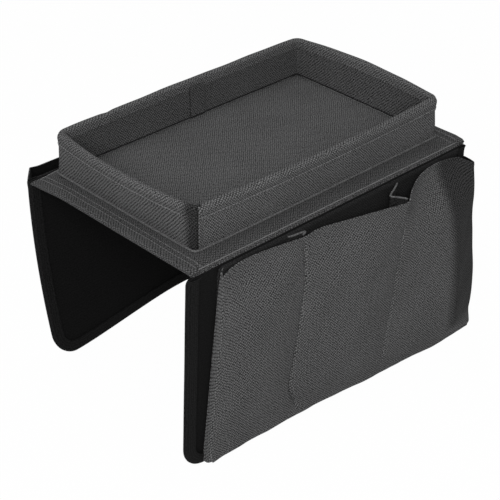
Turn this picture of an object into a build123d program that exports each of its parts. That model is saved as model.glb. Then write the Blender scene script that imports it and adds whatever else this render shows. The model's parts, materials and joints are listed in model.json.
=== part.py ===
from build123d import *
import math
import os

# A sofa arm tray: a boarded base that lies on the arm, a fabric tray on top,
# and a cloth flap with three pockets hanging on each side of the arm.
# X runs along the arm (front end at -X), Y across it (near flap at -Y), Z up.
# The origin is the middle of the base's underside, where it rests on the arm.

# Base
base_length = 330.0
base_width = 205.0
lining_thickness = 1.0
board_thickness = 2.0
cover_thickness = 1.0
base_edge_roll = 2.8
binding_width = 10.0
binding_thickness = 1.0
fit_gap = 0.2

# Tray: the margins are the strips of base left bare around it
front_margin = 24.0
back_margin = 16.0
near_margin = 20.5
far_margin = 8.5
tray_board_height = 37.0
tray_corner_radius = 9.0
front_wall_bow = 8.0
long_wall_bow = 5.0
wall_cloth = 1.0
wall_board = 2.5
wall_board_corner_gap = 10.0
floor_board = 2.0
floor_cloth = 1.0
rim_height = 3.0
rim_roll = 1.6
rim_depth_outside = 13.0
rim_depth_inside = 7.0
piping_width = 2.2
piping_height = 1.8
wall_lap_x = -38.0
wall_lap_width = 13.0
wall_lap_thickness = 0.8

# Flaps, as long as the base
near_flap_drop = 187.0
far_flap_drop = 174.0
flap_corner_radius = 22.0
flap_binding_width = 10.0
flap_binding_cloth = 0.8
flap_cloth = 1.0
hinge_gap = 0.3
far_flap_curl = 25.0
near_flap_curl = 0.5

# Pockets: the far flap is the near one turned half round, so its pockets run from
# the back to the front. A reach is from the flap's end to the seam.
pocket_start_inset = 34.0
pocket_start_inset_at_foot = 15.0
pocket_end_inset = 1.0
pocket_depth = 30.0
pocket_cloth = 1.2
pocket_back_cloth = 1.0
pocket_top = 3.5
pocket_foot_gap = 3.0
pocket_shoulder = 6.0
first_pocket_reach = 120.0
last_pocket_reach = 103.0
divider_cloth = 1.0
divider_drop = 3.0
hem_width = 5.0
hem_thickness = 0.8

# How much of the rim's bow is left at the foot of the tray walls
foot_bow_share = 0.05

# Levels of the pocket sections, as shares of the pocket height from the mouth
level_share = [0.0, 0.24, 0.6, 1.0]

# How far the pocket front stands off the flap, as shares of the pocket depth:
# start, pocket, seam, pocket, seam, pocket, end, one row for each level
near_share = [
    [0.14, 0.24, 0.30, 0.46, 0.87, 0.30, 0.46],
    [0.18, 0.42, 0.32, 0.70, 0.76, 0.72, 0.60],
    [0.20, 0.44, 0.34, 0.72, 0.64, 0.86, 0.72],
    [0.14, 0.26, 0.32, 0.50, 0.66, 0.78, 0.86],
]
far_share = [
    [0.44, 0.64, 0.58, 0.80, 0.72, 0.94, 0.80],
    [0.46, 0.72, 0.58, 0.84, 0.68, 0.94, 0.78],
    [0.44, 0.74, 0.56, 0.84, 0.66, 0.92, 0.80],
    [0.38, 0.54, 0.58, 0.68, 0.70, 0.80, 0.84],
]

# Height of the mouth hem under its highest place, as shares of the mouth sag
mouth_sag = 7.0
near_mouth_share = [0.4, 0.9, 0.8, 1.0, 0.9, 0.1, 0.2]
far_mouth_share = [0.2, 0.6, 0.8, 0.5, 0.8, 0.5, 0.4]

# Plan of a divider's fold, as shares of the depth at its seam, and of the fold step
fold_step = 12.0
fold_depth_share = [0.0, 0.34, 0.52, 1.0]
fold_step_share = [0.7, -0.5, 0.5, 0.0]

overrun = 20.0

# Worked out from the sizes above
tray_length = base_length - front_margin - back_margin
tray_width = base_width - near_margin - far_margin
tray_shift_x = (front_margin - back_margin) / 2
tray_shift_y = (near_margin - far_margin) / 2
flap_length = base_length
first_seam = -flap_length / 2 + first_pocket_reach
last_seam = flap_length / 2 - last_pocket_reach
base_top = lining_thickness + board_thickness + cover_thickness
cloth_edge = base_length / 2 - binding_thickness
tray_floor = base_top + floor_board + floor_cloth
wall_top = base_top + tray_board_height
rim_top = wall_top + rim_height
wall_thickness = 2 * wall_cloth + wall_board
hinge_y = base_width / 2 + hinge_gap / 2
flap_inner = hinge_gap / 2
lining_inner = flap_inner + flap_binding_cloth
cover_inner = lining_inner + flap_cloth
cover_outer = cover_inner + flap_cloth
binding_outer = cover_outer + flap_binding_cloth
pocket_face = cover_outer + pocket_back_cloth

os.makedirs("parts", exist_ok=True)


def save(piece, name):
    """Label a finished piece and write it as its own file."""
    piece.label = name
    export_step(piece, f"parts/{name}.step")


# Base board, lining and cover

with BuildPart() as base_board:
    with BuildSketch(Plane.XY.offset(lining_thickness)):
        Rectangle(2 * cloth_edge, base_width - 2 * cover_thickness)
    extrude(amount=board_thickness)
save(base_board.part, "base_board")

with BuildPart() as base_lining:
    with BuildSketch(Plane.XY):
        Rectangle(base_length - 2 * binding_width, base_width - 2 * cover_thickness)
    extrude(amount=lining_thickness)
save(base_lining.part, "base_lining")

with BuildPart() as base_cover:
    with BuildSketch(Plane.YZ.offset(-cloth_edge)):
        with Locations((0, base_top / 2)):
            Rectangle(base_width, base_top)
        with Locations((0, (base_top - cover_thickness) / 2)):
            Rectangle(
                base_width - 2 * cover_thickness,
                base_top - cover_thickness,
                mode=Mode.SUBTRACT,
            )
    extrude(amount=2 * cloth_edge)
    long_edges = base_cover.edges().filter_by(Axis.X)
    top_edges = long_edges.group_by(Axis.Z)[-1]
    fillet(top_edges.sort_by(Axis.Y)[0], radius=base_edge_roll)
    top_edges = base_cover.edges().filter_by(Axis.X).group_by(Axis.Z)[-1]
    fillet(top_edges.sort_by(Axis.Y)[-1], radius=base_edge_roll)
    for end in (-1, 1):
        with BuildSketch(Plane.XY):
            with Locations((end * (base_length - binding_width) / 2, 0)):
                Rectangle(binding_width, base_width)
        extrude(amount=lining_thickness, mode=Mode.SUBTRACT)
save(base_cover.part, "base_cover")

# Binding folded over each short edge of the base

for end, name in ((-1, "base_binding_front"), (1, "base_binding_back")):
    with BuildPart() as binding:
        with BuildSketch(Plane.XZ.offset(-base_width / 2)):
            with Locations((end * (base_length - binding_width) / 2, (base_top + binding_thickness) / 2)):
                Rectangle(binding_width, base_top + binding_thickness)
            with Locations((end * (cloth_edge - binding_width / 2), (lining_thickness + base_top) / 2)):
                Rectangle(binding_width, board_thickness + cover_thickness, mode=Mode.SUBTRACT)
        extrude(amount=base_width)
        outer_edges = binding.edges().filter_by(Axis.Y).group_by(Axis.Z)[-1]
        fillet(outer_edges.sort_by(Axis.X)[0 if end < 0 else -1], radius=binding_thickness)
    # The strip ends are trimmed to the roll of the cover's long edges
    with BuildPart() as roll_trim:
        with BuildSketch(Plane.YZ.offset(-base_length / 2 - overrun)):
            with Locations((0, (base_top + binding_thickness) / 2)):
                Rectangle(base_width, base_top + binding_thickness)
        extrude(amount=base_length + 2 * overrun)
        trim_edges = roll_trim.edges().filter_by(Axis.X).group_by(Axis.Z)[-1]
        fillet(trim_edges, radius=base_edge_roll + binding_thickness)
    with BuildPart() as trimmed:
        add(binding.part)
        add(roll_trim.part, mode=Mode.INTERSECT)
    save(trimmed.part, name)


# Tray walls: the foot is a rectangle, and the rim bows outwards along each side

def wall_outline(inset, bow_share):
    """Draw the wall's outline, inset from its outer face, with arcs that bow out."""
    half_x = tray_length / 2 - inset
    half_y = tray_width / 2 - inset
    bow_x = front_wall_bow * bow_share
    bow_y = long_wall_bow * bow_share
    with Locations((tray_shift_x, tray_shift_y)):
        with BuildSketch(mode=Mode.PRIVATE) as outline:
            with BuildLine():
                ThreePointArc((-half_x, -half_y), (0, -half_y - bow_y), (half_x, -half_y))
                ThreePointArc((half_x, -half_y), (half_x + bow_x, 0), (half_x, half_y))
                ThreePointArc((half_x, half_y), (0, half_y + bow_y), (-half_x, half_y))
                ThreePointArc((-half_x, half_y), (-half_x - bow_x, 0), (-half_x, -half_y))
            make_face()
            fillet(outline.vertices(), radius=tray_corner_radius - inset)
        add(outline.sketch)


def wall_block(inset):
    """A solid block out to the wall's face at this inset, from the foot to the wall top."""
    with BuildPart() as block:
        with BuildSketch(Plane.XY.offset(base_top)):
            wall_outline(inset, foot_bow_share)
        with BuildSketch(Plane.XY.offset(wall_top)):
            wall_outline(inset, 1)
        loft(ruled=True)
    return block.part


def wall_ring(outer_inset, inner_inset, low, high):
    """The ring between two insets of the wall, cut off at two heights."""
    with BuildPart() as ring:
        add(wall_block(outer_inset))
        add(wall_block(inner_inset), mode=Mode.SUBTRACT)
        with BuildSketch(Plane.XY.offset(low)):
            with Locations((tray_shift_x, tray_shift_y)):
                Rectangle(tray_length + 2 * overrun, tray_width + 2 * overrun)
        extrude(amount=high - low, mode=Mode.INTERSECT)
    return ring.part


board_inset = wall_cloth
inner_inset = wall_cloth + wall_board

with BuildPart() as tray_wall_outer_cover:
    add(wall_ring(0, board_inset, base_top, wall_top))
save(tray_wall_outer_cover.part, "tray_wall_outer_cover")

with BuildPart() as tray_wall_inner_cover:
    add(wall_ring(inner_inset, wall_thickness, base_top, wall_top))
    with BuildPart(mode=Mode.PRIVATE) as lap:
        add(wall_ring(wall_thickness, wall_thickness + wall_lap_thickness, tray_floor, wall_top - rim_depth_inside))
        with BuildSketch(Plane.XY.offset(base_top)):
            with Locations((tray_shift_x + wall_lap_x, tray_shift_y + tray_width / 2)):
                Rectangle(wall_lap_width, tray_width)
        extrude(amount=rim_top, mode=Mode.INTERSECT)
    add(lap.part)
save(tray_wall_inner_cover.part, "tray_wall_inner_cover")

board_ring = wall_ring(board_inset, inner_inset, base_top, wall_top)
board_reach_x = tray_length - 2 * wall_board_corner_gap
board_reach_y = tray_width - 2 * wall_board_corner_gap
for name, along, across, spot in (
    ("front", tray_length / 2, board_reach_y, (-tray_length / 2, 0)),
    ("back", tray_length / 2, board_reach_y, (tray_length / 2, 0)),
    ("near", board_reach_x, tray_width / 2, (0, -tray_width / 2)),
    ("far", board_reach_x, tray_width / 2, (0, tray_width / 2)),
):
    with BuildPart() as wall_stiffener:
        add(board_ring)
        with BuildSketch(Plane.XY.offset(base_top)):
            with Locations((tray_shift_x + spot[0], tray_shift_y + spot[1])):
                Rectangle(along, across)
        extrude(amount=tray_board_height, mode=Mode.INTERSECT)
    save(wall_stiffener.part, f"tray_wall_board_{name}")

with BuildPart() as tray_rim_band:
    with BuildSketch(Plane.XY.offset(wall_top)):
        wall_outline(-wall_cloth, 1)
        with BuildSketch(mode=Mode.PRIVATE) as rim_opening:
            wall_outline(wall_thickness + wall_cloth, 1)
        add(rim_opening.sketch, mode=Mode.SUBTRACT)
    extrude(amount=rim_height)
    chamfer(tray_rim_band.edges().group_by(Axis.Z)[-1], length=rim_roll)
    add(wall_ring(-wall_cloth, 0, wall_top - rim_depth_outside, wall_top))
    add(wall_ring(wall_thickness, wall_thickness + wall_cloth, wall_top - rim_depth_inside, wall_top))
save(tray_rim_band.part, "tray_rim_band")

with BuildPart() as tray_base_piping:
    add(wall_ring(-piping_width, 0, base_top, base_top + piping_height))
save(tray_base_piping.part, "tray_base_piping")

with BuildPart() as tray_floor_board:
    with BuildSketch(Plane.XY.offset(base_top)):
        wall_outline(wall_thickness + fit_gap, foot_bow_share)
    extrude(amount=floor_board)
save(tray_floor_board.part, "tray_floor_board")

with BuildPart() as tray_floor_cover:
    with BuildSketch(Plane.XY.offset(base_top + floor_board)):
        wall_outline(wall_thickness + fit_gap, foot_bow_share)
    extrude(amount=floor_cloth)
save(tray_floor_cover.part, "tray_floor_cover")


# Flaps: each layer is a band between two offsets of the hanging curve

def curl_radius(drop, curl):
    """Radius of the arc that swings the flap's foot in by this much."""
    return drop**2 / (2 * curl)


def face_at(drop, curl, offset, depth_below):
    """How far out of the hinge line the flap's face stands at a depth below it."""
    radius = curl_radius(drop, curl) + offset
    return math.sqrt(radius**2 - depth_below**2) - curl_radius(drop, curl)


def flap_band(side, drop, curl, inner, outer):
    """A curved slab between two offsets, longer and deeper than the flap."""
    radius = curl_radius(drop, curl)
    centre = side * (hinge_y - radius)
    reach = drop + overrun
    with BuildPart() as band:
        with BuildSketch(Plane.YZ.offset(-flap_length / 2 - overrun)):
            with BuildLine():
                rims = []
                for offset_out in (inner, outer):
                    r = radius + offset_out
                    low = (centre + side * math.sqrt(r**2 - reach**2), -reach)
                    mid = (centre + side * math.sqrt(r**2 - (reach / 2) ** 2), -reach / 2)
                    ThreePointArc(low, mid, (centre + side * r, 0))
                    rims.append((low, (centre + side * r, 0)))
                Line(rims[0][0], rims[1][0])
                Line(rims[0][1], rims[1][1])
            make_face()
        extrude(amount=flap_length + 2 * overrun)
    return band.part


def flap_blank(drop, inset, top_drop):
    """The flap's outline as a thick block: square at the top, rounded at the foot."""
    half = flap_length / 2 - inset
    foot = -drop + inset
    with BuildPart() as blank:
        with BuildSketch(Plane.XZ.offset(-base_width)) as outline:
            with Locations((0, (foot - top_drop) / 2)):
                Rectangle(2 * half, -foot - top_drop)
            corners = outline.vertices().group_by(Axis.Y)[0]
            fillet(corners, radius=flap_corner_radius - inset)
        extrude(amount=2 * base_width)
    return blank.part


def flap_layer(side, drop, curl, inner, outer, name):
    """Write one layer of cloth of a flap."""
    with BuildPart() as layer:
        add(flap_band(side, drop, curl, inner, outer))
        add(flap_blank(drop, flap_binding_cloth, hinge_gap), mode=Mode.INTERSECT)
    save(layer.part, name)


def pocket_points(side, drop, curl, shares, inset, level):
    """Corner and mid points of one pocket section at a level, the start first."""
    z = -pocket_top - level_share[level] * (drop - pocket_foot_gap - pocket_top)
    face = hinge_y + face_at(drop, curl, pocket_face, -z)
    inset_change = (pocket_start_inset_at_foot - pocket_start_inset) * level_share[level]
    start = -flap_length / 2 + pocket_start_inset + inset_change + inset
    end = flap_length / 2 - pocket_end_inset - inset
    first_shoulder = start + pocket_shoulder
    last_shoulder = end - pocket_shoulder
    stations = [
        first_shoulder,
        (first_shoulder + first_seam) / 2,
        first_seam,
        (first_seam + last_seam) / 2,
        last_seam,
        (last_seam + last_shoulder) / 2,
        last_shoulder,
    ]
    points = [
        (-side * x, side * (face + pocket_depth * share - inset))
        for x, share in zip(stations, shares[level])
    ]
    root = side * (face - pocket_back_cloth - inset)
    return (-side * start, root), points, (-side * end, root), z


def pocket_solid(side, drop, curl, shares, inset):
    """The whole space out to the pocket cloth at this inset, lofted through its levels."""
    with BuildPart() as space:
        for level in range(len(level_share)):
            start, points, end, z = pocket_points(side, drop, curl, shares, inset, level)
            with BuildSketch(Plane.XY.offset(z)):
                with BuildLine():
                    Line(start, points[0])
                    ThreePointArc(points[0], points[1], points[2])
                    ThreePointArc(points[2], points[3], points[4])
                    ThreePointArc(points[4], points[5], points[6])
                    Line(points[6], end)
                    Line(end, start)
                make_face()
        loft(ruled=True)
    return space.part


def mouth_cut(mouth_share):
    """The wavy line of the mouth, as a block that takes away all above it."""
    low_x = -flap_length / 2
    step = flap_length / (len(mouth_share) - 1)
    line = [
        (low_x + step * i, -pocket_top - mouth_sag * share)
        for i, share in enumerate(mouth_share)
    ]
    with BuildPart() as cut:
        with BuildSketch(Plane.XZ.offset(-base_width)):
            with BuildLine():
                ThreePointArc(line[0], line[1], line[2])
                ThreePointArc(line[2], line[3], line[4])
                ThreePointArc(line[4], line[5], line[6])
                Polyline(line[6], (flap_length / 2, overrun), (low_x, overrun), line[0])
            make_face()
        extrude(amount=2 * base_width)
    return cut.part


def divider_fold(side, drop, curl, shares, seam_x, seam_index):
    """A folded divider as a tall sheet, to be trimmed to the inside of the pocket."""
    depth = pocket_depth * shares[0][seam_index]
    face = hinge_y + face_at(drop, curl, pocket_face, pocket_top)
    path = [
        (-side * (seam_x + fold_step * step), side * (face + depth * share))
        for step, share in zip(fold_step_share, fold_depth_share)
    ]
    path[0] = (path[0][0], side * (hinge_y - far_flap_curl))
    path[-1] = (path[-1][0], side * (face + pocket_depth))
    with BuildPart() as fold:
        with BuildSketch(Plane.XY.offset(-drop - overrun)):
            with BuildLine():
                Polyline(*path)
            trace(line_width=divider_cloth)
        extrude(amount=drop + overrun)
    return fold.part


def build_flap(label, side, drop, curl, shares, mouth_share):
    """Make and write every piece of one flap."""
    pocket_foot = drop - pocket_foot_gap
    flap_layer(side, drop, curl, lining_inner, cover_inner, f"{label}_flap_lining")
    flap_layer(side, drop, curl, cover_inner, cover_outer, f"{label}_flap_cover")

    with BuildPart() as flap_binding:
        add(flap_band(side, drop, curl, flap_inner, binding_outer))
        add(flap_blank(drop, 0, hinge_gap), mode=Mode.INTERSECT)
        with BuildPart(mode=Mode.PRIVATE) as cloth_slot:
            add(flap_band(side, drop, curl, lining_inner, cover_outer))
            add(flap_blank(drop, flap_binding_cloth, -overrun), mode=Mode.INTERSECT)
        add(cloth_slot.part, mode=Mode.SUBTRACT)
        add(flap_blank(drop, flap_binding_width, -overrun), mode=Mode.SUBTRACT)
    save(flap_binding.part, f"{label}_flap_binding")

    # The hem at the top of the pocket cloth is folded double
    pocket_start = -flap_length / 2 + pocket_start_inset
    with BuildPart() as pocket_back:
        add(flap_band(side, drop, curl, cover_outer, pocket_face))
        add(flap_blank(drop, flap_binding_width + fit_gap, hinge_gap), mode=Mode.INTERSECT)
        with BuildPart(mode=Mode.PRIVATE) as hem:
            add(flap_band(side, drop, curl, pocket_face, pocket_face + hem_thickness))
            add(flap_blank(drop, flap_binding_width + fit_gap, hinge_gap), mode=Mode.INTERSECT)
            add(flap_blank(drop, -overrun, hinge_gap + hem_width), mode=Mode.SUBTRACT)
        add(hem.part)
        with BuildSketch(Plane.XZ.offset(-base_width)):
            with Locations((-side * (pocket_start - overrun), -drop / 2)):
                Rectangle(2 * overrun, 2 * drop)
        extrude(amount=2 * base_width, mode=Mode.SUBTRACT)
    save(pocket_back.part, f"{label}_pocket_back")

    with BuildPart() as behind_pocket:
        add(flap_band(side, drop, curl, -drop / 2, pocket_face))
    mouth = mouth_cut(mouth_share)
    outside = pocket_solid(side, drop, curl, shares, 0)
    inside = pocket_solid(side, drop, curl, shares, pocket_cloth)

    with BuildPart() as pocket_front:
        add(outside)
        add(inside, mode=Mode.SUBTRACT)
        add(behind_pocket.part, mode=Mode.SUBTRACT)
        add(mouth, mode=Mode.SUBTRACT)
    save(pocket_front.part, f"{label}_pocket_front")

    with BuildPart() as pocket_bottom:
        add(inside)
        add(behind_pocket.part, mode=Mode.SUBTRACT)
        with BuildSketch(Plane.XY.offset(-pocket_foot)):
            Rectangle(flap_length + overrun, 2 * base_width)
        extrude(amount=pocket_cloth, mode=Mode.INTERSECT)
    save(pocket_bottom.part, f"{label}_pocket_bottom")

    first_name, last_name = ("front", "back") if side < 0 else ("back", "front")
    for name, seam_x, seam_index in ((first_name, first_seam, 2), (last_name, last_seam, 4)):
        with BuildPart() as divider:
            add(divider_fold(side, drop, curl, shares, seam_x, seam_index))
            add(inside, mode=Mode.INTERSECT)
            add(behind_pocket.part, mode=Mode.SUBTRACT)
            with BuildSketch(Plane.XY.offset(-pocket_foot + pocket_cloth)):
                Rectangle(flap_length, 2 * base_width)
            divider_top = pocket_top + mouth_sag + divider_drop
            extrude(amount=pocket_foot - pocket_cloth - divider_top, mode=Mode.INTERSECT)
        save(divider.part, f"{label}_pocket_divider_{name}")


build_flap("near", -1, near_flap_drop, near_flap_curl, near_share, near_mouth_share)
build_flap("far", 1, far_flap_drop, far_flap_curl, far_share, far_mouth_share)
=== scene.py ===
# %% [markdown]
# A sofa arm tray in gray and black woven cloth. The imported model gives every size,
# and each cell below makes one piece of cloth over it, then its stitches. Lengths are
# millimetres until a vertex is written, which takes metres. Only the white floor's size and
# the lights are given in metres.

# %% Load the frame
import json
import math

import bpy
from mathutils import Matrix, Vector


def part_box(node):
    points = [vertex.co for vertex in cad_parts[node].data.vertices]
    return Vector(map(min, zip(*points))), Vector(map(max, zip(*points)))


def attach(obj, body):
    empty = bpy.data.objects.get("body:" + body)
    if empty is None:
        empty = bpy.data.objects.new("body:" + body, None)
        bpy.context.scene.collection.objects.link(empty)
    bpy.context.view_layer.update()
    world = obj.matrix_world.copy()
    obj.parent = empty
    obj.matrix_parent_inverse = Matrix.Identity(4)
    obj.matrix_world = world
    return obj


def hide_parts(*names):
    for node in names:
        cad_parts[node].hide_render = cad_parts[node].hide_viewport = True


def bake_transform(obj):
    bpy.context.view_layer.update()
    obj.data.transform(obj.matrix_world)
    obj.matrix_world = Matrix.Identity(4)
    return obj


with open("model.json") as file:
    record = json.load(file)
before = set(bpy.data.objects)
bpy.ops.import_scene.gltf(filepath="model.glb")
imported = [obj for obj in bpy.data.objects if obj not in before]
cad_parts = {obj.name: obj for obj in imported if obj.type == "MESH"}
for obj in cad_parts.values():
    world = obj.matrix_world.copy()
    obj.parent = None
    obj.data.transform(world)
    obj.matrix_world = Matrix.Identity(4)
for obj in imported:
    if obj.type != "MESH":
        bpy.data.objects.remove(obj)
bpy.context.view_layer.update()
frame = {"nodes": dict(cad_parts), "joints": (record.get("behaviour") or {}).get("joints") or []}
bpy.ops.object.select_all(action="DESELECT")
MM = 0.001

# %% [markdown]
# The camera stands where the photograph was taken: in front of the near left corner,
# looking down by about 32 degrees. It is placed first, so that every later piece can be
# judged in the same view.

# %% Camera
CAMERA_FOCUS_PX = 1530.9
CAMERA_AZIMUTH = math.radians(-43.963)
CAMERA_ELEVATION = math.radians(31.993)
CAMERA_ROLL = math.radians(0.63)
CAMERA_DISTANCE = 1344.3
CAMERA_RIGHT = -2.3
CAMERA_UP = -77.5
IMAGE_PX = 500
SENSOR = 36.0


def add_camera():
    """Add the camera from its bearing, height, roll and distance."""
    back = Vector((
        math.sin(CAMERA_AZIMUTH) * math.cos(CAMERA_ELEVATION),
        -math.cos(CAMERA_AZIMUTH) * math.cos(CAMERA_ELEVATION),
        math.sin(CAMERA_ELEVATION),
    ))
    level_right = Vector((math.cos(CAMERA_AZIMUTH), math.sin(CAMERA_AZIMUTH), 0))
    level_up = back.cross(level_right)
    c, s = math.cos(CAMERA_ROLL), math.sin(CAMERA_ROLL)
    right = c * level_right + s * level_up
    up = -s * level_right + c * level_up
    place = back * CAMERA_DISTANCE + right * CAMERA_RIGHT + up * CAMERA_UP
    turn = Matrix((right, up, back)).transposed().to_4x4()
    bpy.ops.object.camera_add()
    camera = bpy.context.object
    camera.matrix_world = Matrix.Translation(place * MM) @ turn
    camera.data.sensor_width = SENSOR
    camera.data.lens = CAMERA_FOCUS_PX * SENSOR / IMAGE_PX
    bpy.context.scene.camera = camera
    return camera


print("camera", add_camera().location)

# %% [markdown]
# Every size comes from the frame where the frame holds it: the box of a node at rest gives
# the base, the tray and the flaps, and the joints give the two hinge lines. Numbers could be
# typed in instead, but then the cloth wouldn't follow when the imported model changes.

# %% Sizes


def box_mm(node):
    """Lowest and highest corner of a node, in millimetres."""
    low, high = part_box(node)
    return [v / MM for v in low], [v / MM for v in high]


LABELS = ("near", "far")
SIDES = {"near": -1, "far": 1}
base_high = box_mm("base_cover")[1]
back_high = box_mm("base_binding_back")[1]
board_low, board_high = box_mm("base_board")
floor_high = box_mm("tray_floor_cover")[1]
rim_high = box_mm("tray_rim_band")[1]
foot_low, foot_high = box_mm("tray_base_piping")

BASE_END = back_high[0]
BASE_SIDE = base_high[1]
BASE_TOP = base_high[2]
CLOTH = 1.0
PIPING_PROUD = 2.2
TRAY_X = (foot_low[0] + foot_high[0]) / 2
TRAY_Y = (foot_low[1] + foot_high[1]) / 2
TRAY_HALF_X = (foot_high[0] - foot_low[0]) / 2 - PIPING_PROUD
TRAY_HALF_Y = (foot_high[1] - foot_low[1]) / 2 - PIPING_PROUD
RIM_TOP = rim_high[2]
WALL = 4.5
FRONT_BOW = rim_high[0] - TRAY_X - TRAY_HALF_X - CLOTH
LONG_BOW = rim_high[1] - TRAY_Y - TRAY_HALF_Y - CLOTH
FLOOR_TOP = floor_high[2]
HINGE_Y = max(j["pos_m"][1] for j in frame["joints"]) / MM
FLAP_DROP = {label: -box_mm(f"{label}_flap_binding")[0][2] for label in LABELS}
print("base", BASE_END, BASE_SIDE, BASE_TOP, "tray", TRAY_HALF_X, TRAY_HALF_Y, RIM_TOP)
print("flap drops", FLAP_DROP, "hinge", HINGE_Y)

# %% [markdown]
# Cloth is woven, so its finish is made from two sets of threads. In a twill one thread
# passes over two others, one step further along in each row, and this shows as slanted
# ridges of short bright dashes. The pattern reads the piece's own UV map, which is laid out
# in metres along the cloth, so the weave follows every fold at its true size. A picture of
# cloth could be wrapped on as well, but waves stay sharp from close by.

# %% Shader nodes
TWILL_PITCH = 1.8
DASH_PITCH = 2.3
THREAD_PITCH = 0.62


class Nodes:
    """A short way to add and join shader nodes of one material."""

    def __init__(self, name):
        self.material = bpy.data.materials.new(name)
        self.material.use_nodes = True
        self.tree = self.material.node_tree
        self.shader = self.tree.nodes["Principled BSDF"]

    def add(self, kind, settings=None, **inputs):
        """Add a node, set its properties and its unlinked inputs, link the rest."""
        node = self.tree.nodes.new(kind)
        for key, value in (settings or {}).items():
            setattr(node, key, value)
        for key, value in inputs.items():
            numbered = key[0] == "i" and key[1:].isdigit()
            socket = node.inputs[int(key[1:])] if numbered else node.inputs[key]
            if isinstance(value, bpy.types.NodeSocket):
                self.tree.links.new(value, socket)
            else:
                socket.default_value = value
        return node

    def math(self, operation, a, b=0.0):
        """One math node, its result."""
        return self.add("ShaderNodeMath", {"operation": operation}, i0=a, i1=b).outputs[0]

    def wave(self, value, pitch, phase=0.0):
        """A sine of a length in metres, with a pitch in millimetres."""
        turns = self.math("MULTIPLY", value, 2 * math.pi / (pitch * MM))
        return self.math("SINE", self.math("ADD", turns, phase))

    def ramp(self, value, low, high, low_colour, high_colour):
        """Blend two colours over a range of a value."""
        node = self.add("ShaderNodeValToRGB", i0=value)
        node.color_ramp.elements[0].position = low
        node.color_ramp.elements[1].position = high
        node.color_ramp.elements[0].color = (*low_colour, 1)
        node.color_ramp.elements[1].color = (*high_colour, 1)
        return node.outputs[0]

    def rise(self, value, low, high):
        """0 below low, 1 above high, and an even curve between."""
        settings = {"interpolation_type": "SMOOTHSTEP"}
        return self.add("ShaderNodeMapRange", settings, Value=value, i1=low, i2=high).outputs[0]

    def dimmed(self, colour, u, v, u_low, u_high, v_low, v_high, dark):
        """Darken a colour where u is past its range and v is before its own."""
        share = self.math("MULTIPLY", self.rise(u, u_low, u_high), self.rise(v, v_high, v_low))
        settings = {"data_type": "RGBA", "blend_type": "MULTIPLY"}
        mix = self.add("ShaderNodeMix", settings, i0=share, i6=colour, i7=(dark, dark, dark, 1))
        return mix.outputs[2]


def gray(value):
    """A gray as a display value from 0 to 255, turned to the linear colour that a shader takes."""
    share = value / 255
    linear = share / 12.92 if share <= 0.04045 else ((share + 0.055) / 1.055) ** 2.4
    return (linear, linear, linear * 1.01)


print("helpers ready, gray(80) is", gray(80))

# %% [markdown]
# All the woven finishes come from one recipe. Its shade and spread say how dark the gaps and
# how bright the threads are, its slant says which way the ridges lean, and its ridge share
# says how much of the contrast belongs to the ridges and to the dashes across them. Noise
# shifts both a little, because hand-cut cloth is never square. Slower noise gives the uneven
# dye, and fine noise the fuzz. A stretch of a cloth can be painted darker, where the
# photograph shows a shade that the modelled light doesn't give.

# %% Cloth finishes
DRIFT = 9.0
DRIFT_SCALE = 60.0
DASH_CONTRAST = 0.75
DASH_LEVEL = 0.45
DASH_SHARE = 0.5
THREAD_SHARE = 0.07
FUZZ = 3.2
FUZZ_SCALE = 800.0
DYE = 0.22
DYE_SCALE = 22.0
RELIEF = 0.3
GLOSS = 0.08
SHEEN = 0.01


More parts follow.
